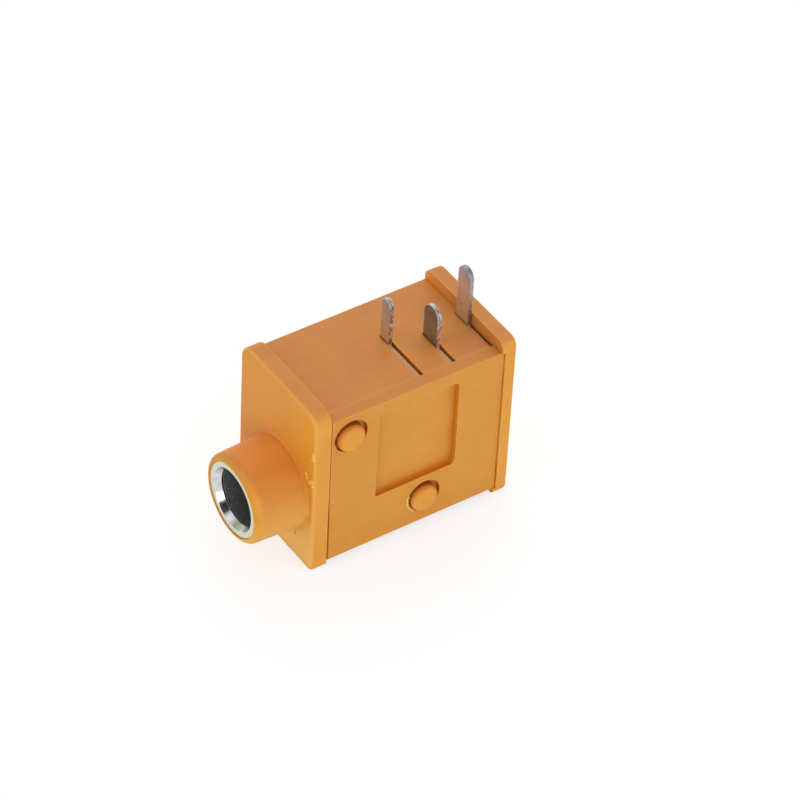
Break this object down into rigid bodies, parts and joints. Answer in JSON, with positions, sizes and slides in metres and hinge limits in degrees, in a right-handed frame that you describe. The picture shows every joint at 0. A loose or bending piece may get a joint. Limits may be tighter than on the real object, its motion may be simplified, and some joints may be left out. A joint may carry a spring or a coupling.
{
  "type": "pcb audio jack",
  "caption": "3.5 mm audio jack for a circuit board: orange moulded body with a side cover, metal-bushed round nose and flat solder pins.",
  "frame": {"origin": "on the plug's axis, in the plane of the flange's front face", "axes": "+Y along the plug's axis into the jack, +Z towards the circuit board, where the pins point, +X towards the side cover"},
  "size_m": [0.0084, 0.0173, 0.0151],
  "materials": {
    "orange_plastic": "satin moulded",
    "bush_plating": "bright nickel plate",
    "tinned_strip": "dull tin plate on bronze strip"
  },
  "bodies": {
    "root": {"housing": "orange_plastic", "side_cover": "orange_plastic", "bush": "bush_plating", "sleeve_terminal": "tinned_strip", "ring_terminal": "tinned_strip", "tip_terminal": "tinned_strip"}
  },
  "joints": []
}
